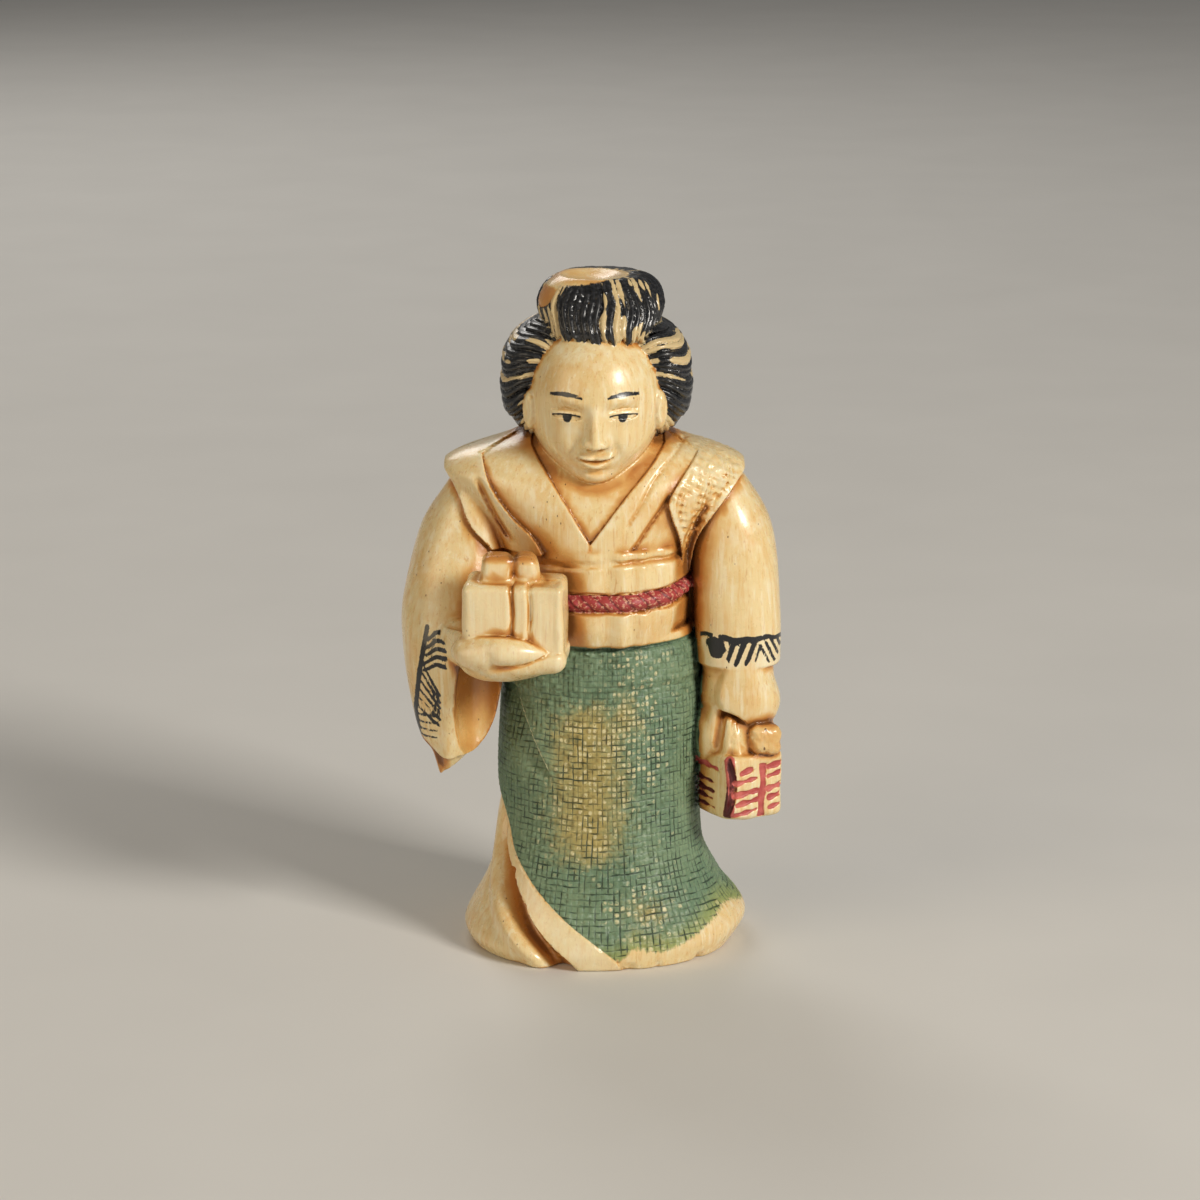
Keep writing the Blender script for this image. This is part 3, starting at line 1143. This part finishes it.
def closed_in(points, normals, reaches):
    """How much other walls stand near, over a few distances straight out from each point."""
    shares = [np.clip(1 - carving(points + reach * normals) / reach, 0, 1) for reach in reaches]
    return sum(shares) / len(shares)


def paint_attributes(points, normals):
    """Named values for the material: how far inside each paint, pattern counts, grooves and edges."""
    x, y, z = points.T
    light = 1 - 0.65 * face_share(x, y, z)
    inward = carving(points - EDGE_REACH * normals) / EDGE_REACH
    cord = np.minimum(1.05 - np.abs(cord_across(x, y, z)), (ON - sash(x, y, z)) * 4) * CORD_RADIUS
    return {
        **skirt_paint(x, y, z),
        **hair_paint(x, y, z),
        **bundle_paint(x, y, z),
        "cord": cord,
        "cord_turns": cord_turns(x, y, z),
        "ink": inked(x, y, z),
        "pitted": pitted_lump(x, y, z),
        "rubbed": rubbed_pale(x, y, z, normals),
        "stained": stained_amber(x, y, z),
        "groove": closed_in(points, normals, GROOVE_REACH) * light,
        "hollow": closed_in(points, normals, HOLLOW_REACH) * light,
        "edge": np.clip(1 + inward, 0, 1),
    }


def brushed(points):
    """Marks the points where thin brush strokes run."""
    x, y, z = points.T
    on_sleeve = (sleeve_ink(x, z) < 0.25) & (y < -3.2) & (x < -10.9)
    on_cuff = (x > 6.3) & (z > 21.2) & (z < 24.3) & (hanging_sleeve(x, y, z) < ON)
    on_cuff = on_cuff & (cuff_ink(x, y, z) < 0.2)
    on_face = (face_ink(x, y, z) < 0.2) & (z > 37)
    u, v, w = bundle_frame(x, y, z)
    on_bundle = (bundle_block(u, v, w) < 0.3) & (np.abs(bundle_strokes(u, v, w)) < 0.14)
    return on_sleeve | on_cuff | on_face | on_bundle


def detail_weights(points):
    """How much of the fine mesh each spot keeps: most on the face, the hair and the brushed patterns."""
    x, y, z = points.T
    weight = np.full(len(points), 0.1)
    weight[plain_skirt(x, y, z) < 0.3] = 0.3
    weight[(flap_inside(x, y, z) > 0) & (y < 1) & (z > 31)] = 0.5
    weight[z > 44.5] = 0.7
    weight[(z > 36.5) & (y > -3.4)] = 0.7
    weight[(z > 35.5) & (y < -4.0) & (np.abs(x + 0.5) < 4.2)] = 0.8
    weight[brushed(points)] = 0.8
    return weight


def carved_figure():
    margin, most_shift = 0.8, 0.08
    low, high = (np.array(corner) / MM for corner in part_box("figure"))
    low, high = low - margin, high + margin
    grid = sampled(carving, low, high, CELL)
    vertices, quads = surface_net(grid, low, CELL)
    mesh = mesh_from("carved_fine", vertices, quads)
    mesh = thinned(mesh, detail_weights(vertices))
    refined(mesh, brushed(places_of(mesh)))
    points = places_of(mesh)
    normals, steepness = slopes(carving, points)
    shift = np.clip(carving(points) / np.maximum(steepness, 0.5), -most_shift, most_shift)
    points = points - normals * shift[:, None]
    points[:, 2] = np.maximum(points[:, 2], 0)
    mesh.vertices.foreach_set("co", (points * MM).ravel())
    mesh.update()
    for name, values in paint_attributes(points, normals).items():
        layer = mesh.attributes.new(name, "FLOAT", "POINT")
        layer.data.foreach_set("value", values.astype(np.float32))
    mesh.polygons.foreach_set("use_smooth", np.ones(len(mesh.polygons), bool))
    mesh.normals_split_custom_set_from_vertices(normals.tolist())
    piece = placed("carved_figure", mesh)
    mesh.materials.append(painted_bone())
    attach(piece, "root")
    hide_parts("figure")
    return piece


# Materials

def srgb(red, green, blue):
    """A colour given as it looks on screen, 0 to 255, in the renderer's linear values."""
    parts = [channel / 255 for channel in (red, green, blue)]
    return tuple(p / 12.92 if p <= 0.04045 else ((p + 0.055) / 1.055) ** 2.4 for p in parts) + (1.0,)


class Value:
    """What a shader node gives, ready for ordinary arithmetic."""

    def __init__(self, shading, socket):
        self.shading = shading
        self.socket = socket

    def __add__(self, other):
        return self.shading.math("ADD", self, other)

    def __sub__(self, other):
        return self.shading.math("SUBTRACT", self, other)

    def __mul__(self, other):
        return self.shading.math("MULTIPLY", self, other)


class Shading:
    """Short ways to add the nodes of one material."""

    def __init__(self, name):
        self.material = bpy.data.materials.new(name)
        self.material.use_nodes = True
        self.tree = self.material.node_tree

    def feed(self, socket, value):
        if isinstance(value, Value):
            self.tree.links.new(value.socket, socket)
        else:
            socket.default_value = value

    def finish(self, inputs):
        """Sets the surface shader's inputs, and gives the material."""
        shader = self.tree.nodes["Principled BSDF"]
        for key, value in inputs.items():
            self.feed(shader.inputs[key], value)
        return self.material

    def node(self, kind, inputs=(), output=0, **settings):
        node = self.tree.nodes.new(kind)
        for key, value in settings.items():
            setattr(node, key, value)
        for key, value in dict(inputs).items():
            self.feed(node.inputs[key], value)
        return Value(self, node.outputs[output])

    def attribute(self, name):
        return self.node("ShaderNodeAttribute", output="Fac", attribute_name=name)

    def math(self, operation, *values):
        return self.node("ShaderNodeMath", enumerate(values), operation=operation)

    def step(self, value, low, high, start=0.0, end=1.0):
        inputs = {"Value": value, "From Min": low, "From Max": high, "To Min": start, "To Max": end}
        return self.node("ShaderNodeMapRange", inputs, interpolation_type="SMOOTHSTEP")

    def mix(self, share, first, second):
        factor, colour_a, colour_b, colour_out = 0, 6, 7, 2
        inputs = {factor: share, colour_a: first, colour_b: second}
        return self.node("ShaderNodeMix", inputs, colour_out, data_type="RGBA")

    def coats(self, colour, rows):
        """Colours over one another, in rows of a mask, where it starts and ends, strength and colour."""
        for mask, low, high, strength, coat in rows:
            colour = self.mix(self.step(mask, low, high) * strength, colour, coat)
        return colour

    def place(self, stretch=(1, 1, 1)):
        """Object coordinates in millimetres, stretched."""
        where = self.node("ShaderNodeTexCoord", output="Object")
        return self.node("ShaderNodeMapping", {"Vector": where, "Scale": [s / MM for s in stretch]})

    def spot(self, across, along):
        return self.node("ShaderNodeCombineXYZ", {"X": across, "Y": along})

    def noise(self, where, scale, detail=2.0, rough=0.55):
        inputs = {"Vector": where, "Scale": scale, "Detail": detail, "Roughness": rough}
        return self.node("ShaderNodeTexNoise", inputs, "Fac")


CREAM = srgb(241, 217, 163)
PALE = srgb(250, 238, 204)
HONEY = srgb(228, 181, 108)
AMBER = srgb(194, 122, 50)
UMBER = srgb(98, 54, 22)
SAGE = srgb(122, 146, 114)
MOSS = srgb(102, 130, 102)
LICHEN = srgb(142, 158, 124)
LIME = srgb(164, 172, 96)
OLIVE = srgb(184, 162, 92)
STRAW = srgb(226, 216, 170)
CELADON = srgb(204, 204, 166)
FERN = srgb(70, 94, 70)
DEEP_GREEN = srgb(38, 58, 42)
INK = srgb(24, 25, 28)
SOOT = srgb(52, 52, 54)
BROWN_GAP = srgb(150, 122, 80)
BARE_STRAND = srgb(216, 192, 144)
RED = srgb(176, 66, 66)
BLUSH = srgb(226, 170, 140)
ROSE = srgb(184, 74, 72)
CORAL = srgb(212, 112, 102)
MAROON = srgb(86, 24, 26)
FLOOR_GREYS = srgb(214, 212, 208), srgb(222, 220, 216)


class PaintedBone(Shading):
    """The carving's one material: grained bone, amber stain and the paints over them."""

    def __init__(self):
        super().__init__("painted_bone")
        self.where = self.place()
        self.cloud = self.noise(self.where, 0.22, 3.0)
        self.mottle = self.noise(self.where, 0.9, 3.0)
        self.speck = self.noise(self.where, 4.0, 2.0)
        self.grain = self.noise(self.place((1, 1, 0.05)), 2.4, 3.0, 0.65)
        self.streak = self.noise(self.place((1, 1, 0.12)), 5.5, 2.0)
        self.groove = self.attribute("groove")
        self.ragged = (self.speck - 0.5) * 0.35

    def inside(self, name, rag, low, high):
        """How much of a paint lies at a spot, with a ragged edge."""
        return self.step(self.attribute(name) + self.ragged * rag, low, high)

    def bone(self):
        return self.coats(CREAM, [
            (self.cloud, 0.45, 0.7, 0.45, HONEY),
            (self.mottle, 0.5, 0.75, 0.5, PALE),
            (self.grain, 0.5, 0.66, 0.45, HONEY),
            (self.grain, 0.46, 0.34, 0.55, PALE),
            (self.streak, 0.6, 0.74, 0.35, AMBER),
            (self.attribute("edge"), 0.1, 0.5, 0.5, PALE),
        ])

    def stained(self, bone):
        """Bone with pale rubbed places, and with amber and brown in its hollows."""
        rubbed = self.attribute("rubbed")
        stain = self.attribute("hollow") * 1.15 + self.groove * 1.1 + self.attribute("stained")
        stain = stain + (self.mottle - 0.5) * 0.6 + (self.cloud - 0.5) * 0.7 - rubbed * 0.25
        return self.coats(self.mix(rubbed * 0.4, bone, PALE), [
            (stain, 0.12, 0.6, 1.0, HONEY),
            (stain, 0.36, 1.0, 0.85, AMBER),
            (stain, 0.95, 1.6, 0.75, UMBER),
        ])

    def pores(self):
        pitted = self.attribute("pitted")
        spots = {"Vector": self.place((1, 1, 0.5)), "Scale": 1.6}
        away = self.node("ShaderNodeTexVoronoi", spots, "Distance")
        away = self.math("MULTIPLY_ADD", pitted, -0.08, away)
        crowded = self.math("MULTIPLY_ADD", pitted, 0.3, self.cloud)
        return self.step(away, 0.09, 0.05) * self.step(crowded, 0.46, 0.56)

    def thread(self, turns, other):
        """An engraved line at each whole turn, pressed harder here and lighter there."""
        nearest = self.math("ROUND", turns)
        away = self.math("ABSOLUTE", turns - nearest)
        press = self.step(self.noise(self.spot(nearest * 7.3, other * 0.35), 1.0, 1.0), 0.36, 0.66)
        width = press * 0.15 + 0.07
        return self.step(away, width, width * 0.2) * self.step(press, -0.25, 0.8)

    def weave(self, around, up):
        """The engraved lines, fainter near the sash and in patches."""
        lines = self.math("MAXIMUM", self.thread(around, up), self.thread(up, around))
        patches = self.step(self.noise(self.where, 0.45, 2.0), 0.36, 0.56, 0.5, 1.0)
        return lines * (self.step(up, 38.0, 47.0, 1.0, 0.5) * patches)

    def dots(self, around, up, wear):
        """Pale dots in some meshes of the weave."""
        cell = self.spot(self.math("FLOOR", around), self.math("FLOOR", up))
        luck = self.node("ShaderNodeTexWhiteNoise", {"Vector": cell}, "Value", noise_dimensions="2D")
        chance = luck + self.attribute("glint") * 0.55 + wear * 0.45
        across, along = (self.math("FRACT", turns) - 0.5 for turns in (around, up))
        dot = self.step(chance, 0.9, 1.35) * self.step(across * across + along * along, 0.22, 0.03)
        return dot * self.step(self.speck, 0.36, 0.54)

    def green(self, around, up, lines, above_hem):
        near_hem = self.step(above_hem, 1.8, 0.0)
        wear = self.attribute("worn") + (self.mottle - 0.55) * 0.9 + (self.speck - 0.5) * 0.6
        wear = wear + near_hem * 0.3
        scratch = self.noise(self.spot(around * 0.8, up * 0.3), 1.0, 3.0, 0.6)
        scratch = self.step(scratch, 0.56, 0.7) * self.step(up, 34.0, 44.0, 0.25, 0.7)
        green = self.coats(SAGE, [
            (self.cloud, 0.35, 0.7, 1.0, MOSS),
            (self.speck, 0.45, 0.7, 0.4, LICHEN),
        ])
        green = self.mix(near_hem * 0.75, green, LIME)
        green = self.coats(green, [(wear, 0.15, 1.0, 0.85, OLIVE)])
        green = self.mix(self.dots(around, up, wear) * 0.85, green, STRAW)
        green = self.mix(lines * self.step(self.mottle, 0.3, 0.6, 0.55, 0.95), green, DEEP_GREEN)
        return self.coats(self.mix(scratch, green, FERN), [
            (self.groove, 0.3, 0.9, 0.6, DEEP_GREEN),
            (self.attribute("off_crease"), 0.13, 0.05, 0.8, CELADON),
        ])

    def hair(self):
        """Black hair with brown gaps between the locks and bare strands near the face."""
        ridge = self.attribute("strand_ridge")
        number = self.math("FLOOR", self.attribute("strand"))
        luck = self.node("ShaderNodeTexWhiteNoise", {"W": number}, "Value", noise_dimensions="1D")
        along = self.noise(self.where, 0.42, 1.0)
        bare = luck + (along - 0.5) * 1.9 + self.attribute("hairline") * 0.36
        thin = self.math("MULTIPLY_ADD", bare, -2.6, 2.75)
        gaps = self.step(ridge, 0.3, 0.08) * self.step(self.mottle, 0.42, 0.6)
        hair = self.coats(INK, [(self.speck, 0.45, 0.7, 1.0, SOOT)])
        hair = self.mix(gaps * 0.6, hair, BROWN_GAP)
        return self.mix(self.step(ridge + self.ragged * 0.5 - thin, 0.0, 0.16), hair, BARE_STRAND)

    def cord(self):
        notch = self.math("ABSOLUTE", self.math("FRACT", self.attribute("cord_turns")) - 0.5)
        return self.coats(RED, [(notch, 0.3, 0.48, 0.7, MAROON), (self.speck, 0.54, 0.64, 0.8, BLUSH)])


def painted_bone():
    s = PaintedBone()
    around, up = s.attribute("weave_around"), s.attribute("weave_up")
    lines = s.weave(around, up)
    above_hem = s.attribute("above_hem") + s.ragged * 0.9 + (s.streak - 0.5) * 0.6
    pore = s.pores()
    on_green = s.inside("green", 0.25, -0.04, 0.06) * s.step(above_hem, -0.12, 0.2)
    bald = s.step(s.attribute("bald") + s.ragged, 0.0, 0.12)
    on_cord = s.inside("cord", 1.2, -0.02, 0.06)
    on_red = s.inside("red", 0.4, -0.03, 0.04)
    paints = [
        (pore * 0.8, UMBER),
        (on_green, s.green(around, up, lines, above_hem)),
        (s.inside("hair", 0.3, -0.02, 0.05) * s.math("SUBTRACT", 1.0, bald), s.hair()),
        (on_cord, s.cord()),
        (on_red, s.coats(ROSE, [(s.mottle, 0.35, 0.65, 1.0, CORAL)])),
        (s.inside("maroon", 0.4, -0.03, 0.06), MAROON),
        (s.inside("ink", 0.3, -0.03, 0.03), INK),
    ]
    colour = s.stained(s.bone())
    for share, paint in paints:
        colour = s.mix(share, colour, paint)
    painted = s.math("MAXIMUM", on_green, s.math("MAXIMUM", on_cord, on_red))
    height = s.grain * 0.5 + s.speck * 0.35 + (lines * on_green * -1.2 - pore)
    return s.finish({
        "Base Color": colour,
        "Roughness": s.step(s.mottle, 0.3, 0.7, 0.24, 0.36) + painted * 0.2,
        "Coat Weight": s.step(painted, 0.0, 1.0, 0.25, 0.04),
        "Coat Roughness": 0.16,
        "Normal": s.node("ShaderNodeBump", {"Height": height, "Strength": 0.5, "Distance": 0.05 * MM}),
        "IOR": 1.53,
        "Subsurface Weight": 0.08,
        "Subsurface Radius": (1.0, 0.55, 0.25),
        "Subsurface Scale": 0.8 * MM,
    })


def pale_floor():
    s = Shading("pale_floor")
    tone = s.noise(s.place(), 0.05, 2.0)
    return s.finish({"Base Color": s.mix(tone, *FLOOR_GREYS), "Roughness": 0.7})


# Studio

def floor():
    half = 1.2
    corners = [(-half, -half, 0), (half, -half, 0), (half, half, 0), (-half, half, 0)]
    mesh = mesh_from("floor", corners, [(0, 1, 2, 3)])
    mesh.materials.append(pale_floor())
    ground = placed("floor", mesh)


def lamp(name, place, size, power, colour):
    light = bpy.data.lights.new(name, "AREA")
    light.size = size
    light.energy = power
    light.color = colour
    holder = placed(name, light)
    holder.location = place
    aim = Vector((0, 0, 0.025)) - Vector(place)
    holder.rotation_euler = aim.to_track_quat("-Z", "Y").to_euler()


def studio():
    lamp("key", (0.355, -0.295, 0.29), size=0.13, power=2.15, colour=(1.0, 0.95, 0.87))
    lamp("fill", (-0.45, -0.35, 0.25), size=0.4, power=0.98, colour=(1.0, 0.83, 0.58))
    lamp("rim", (-0.15, 0.45, 0.35), size=0.25, power=0.7, colour=(1.0, 0.97, 0.92))
    world = bpy.data.worlds.new("studio")
    world.use_nodes = True
    world.node_tree.nodes["Background"].inputs["Color"].default_value = (0.9, 0.89, 0.87, 1)
    world.node_tree.nodes["Background"].inputs["Strength"].default_value = 0.16
    bpy.context.scene.world = world


CAMERA_TARGET = Vector((-0.15, 0, 25.25)) * MM
CAMERA_ELEVATION = math.radians(15)
CAMERA_DISTANCE = 269 * MM
CAMERA_LENS = 111.4


def camera():
    lens = bpy.data.cameras.new("camera")
    lens.lens = CAMERA_LENS
    lens.sensor_width = 36
    lens.clip_start = 0.01
    holder = placed("camera", lens)
    back = Vector((0, -math.cos(CAMERA_ELEVATION), math.sin(CAMERA_ELEVATION)))
    holder.location = CAMERA_TARGET + back * CAMERA_DISTANCE
    holder.rotation_euler = (-back).to_track_quat("-Z", "Y").to_euler()
    bpy.context.scene.camera = holder


camera()
studio()
floor()
carved_figure()
bpy.context.scene.view_settings.view_transform = "Standard"
